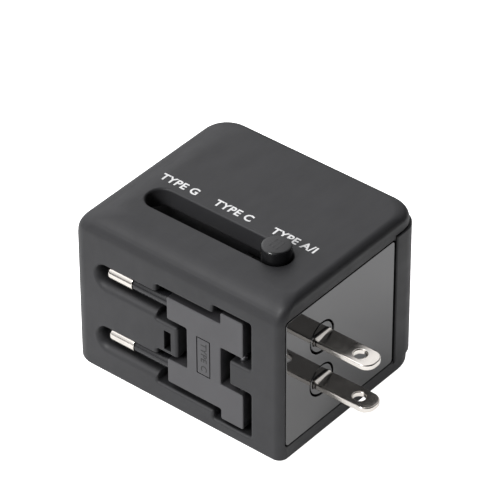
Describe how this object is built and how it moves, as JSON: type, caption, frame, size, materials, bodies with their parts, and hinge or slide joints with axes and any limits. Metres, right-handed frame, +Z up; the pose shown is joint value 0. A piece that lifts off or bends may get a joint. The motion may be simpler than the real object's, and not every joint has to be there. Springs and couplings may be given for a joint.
{
  "type": "universal travel adapter",
  "caption": "Cube-shaped travel mains adapter: a slider pushes out flat-blade or rectangular-pin plugs, a two-pin plug swings out of the front, and the back holds a multi-standard socket.",
  "frame": {"origin": "centre of the flat underside", "axes": "+X the side the flat-blade plug leaves from, +Y the socket face, -Y the side with the folded two-pin plug, +Z up through the slider knob"},
  "size_m": [0.0798, 0.0522, 0.0504],
  "materials": {
    "soft_touch_shell": "soft-touch satin black",
    "satin_plastic": "satin black",
    "gloss_panel": "piano black",
    "inner_plastic": "moulded black",
    "pin_sleeve": "smooth black",
    "nickel_plating": "bright nickel plating",
    "contact_brass": "stamped brass",
    "steel": "zinc-plated",
    "fuse_ceramic": "glazed"
  },
  "bodies": {
    "housing": {"front_housing": "soft_touch_shell", "rear_housing": "soft_touch_shell", "us_side_panel": "gloss_panel", "uk_side_panel": "gloss_panel", "socket_face": "gloss_panel", "socket_core": "inner_plastic", "live_socket_contact": "contact_brass", "neutral_socket_contact": "contact_brass", "live_contact_rail": "contact_brass", "neutral_contact_rail": "contact_brass", "fuse_clip_left": "contact_brass", "fuse_clip_right": "contact_brass", "europlug_contact_upper": "contact_brass", "europlug_contact_lower": "contact_brass", "fuse_tube": "fuse_ceramic", "fuse_cap_left": "steel", "fuse_cap_right": "steel", "housing_screw_1": "steel", "housing_screw_2": "steel", "housing_screw_3": "steel", "housing_screw_4": "steel", "europlug_hinge_pin": "steel"},
    "slider": {"slider_carriage": "inner_plastic", "carriage_cover": "inner_plastic", "uk_pin_live": "nickel_plating", "uk_pin_neutral": "nickel_plating", "uk_sleeve_live": "pin_sleeve", "uk_sleeve_neutral": "pin_sleeve", "uk_earth_pin": "satin_plastic", "wiper_live": "contact_brass", "wiper_neutral": "contact_brass", "knob_spring": "steel"},
    "knob": {"slider_knob": "satin_plastic"},
    "us_rotor_upper": {"us_collar_upper": "gloss_panel", "us_blade_upper": "nickel_plating"},
    "us_rotor_lower": {"us_collar_lower": "gloss_panel", "us_blade_lower": "nickel_plating"},
    "europlug": {"europlug_carrier": "satin_plastic", "euro_pin_upper": "nickel_plating", "euro_pin_lower": "nickel_plating", "euro_sleeve_upper": "pin_sleeve", "euro_sleeve_lower": "pin_sleeve"}
  },
  "joints": [
    {"name": "slider_travel", "type": "slide", "parent": "housing", "child": "slider", "axis": [1, 0, 0], "range_m": [-0.0348, 0]},
    {"name": "knob_press", "type": "slide", "parent": "slider", "child": "knob", "axis": [0, 0, -1], "range_m": [0, 0.0015], "stiffness_N_per_m": 300, "springref_m": -0.001, "deforming": ["knob_spring"]},
    {"name": "blade_twist_upper", "type": "hinge", "parent": "slider", "child": "us_rotor_upper", "pos_m": [0.0318, -0.0111, 0.02985], "axis": [1, 0, 0], "range_deg": [0, 30]},
    {"name": "blade_twist_lower", "type": "hinge", "parent": "slider", "child": "us_rotor_lower", "pos_m": [0.0318, -0.0111, 0.01715], "axis": [1, 0, 0], "range_deg": [-30, 0]},
    {"name": "europlug_swing", "type": "hinge", "parent": "housing", "child": "europlug", "pos_m": [0.0186, -0.02339, 0.02122], "axis": [0, 0, 1], "range_deg": [0, 90]}
  ]
}
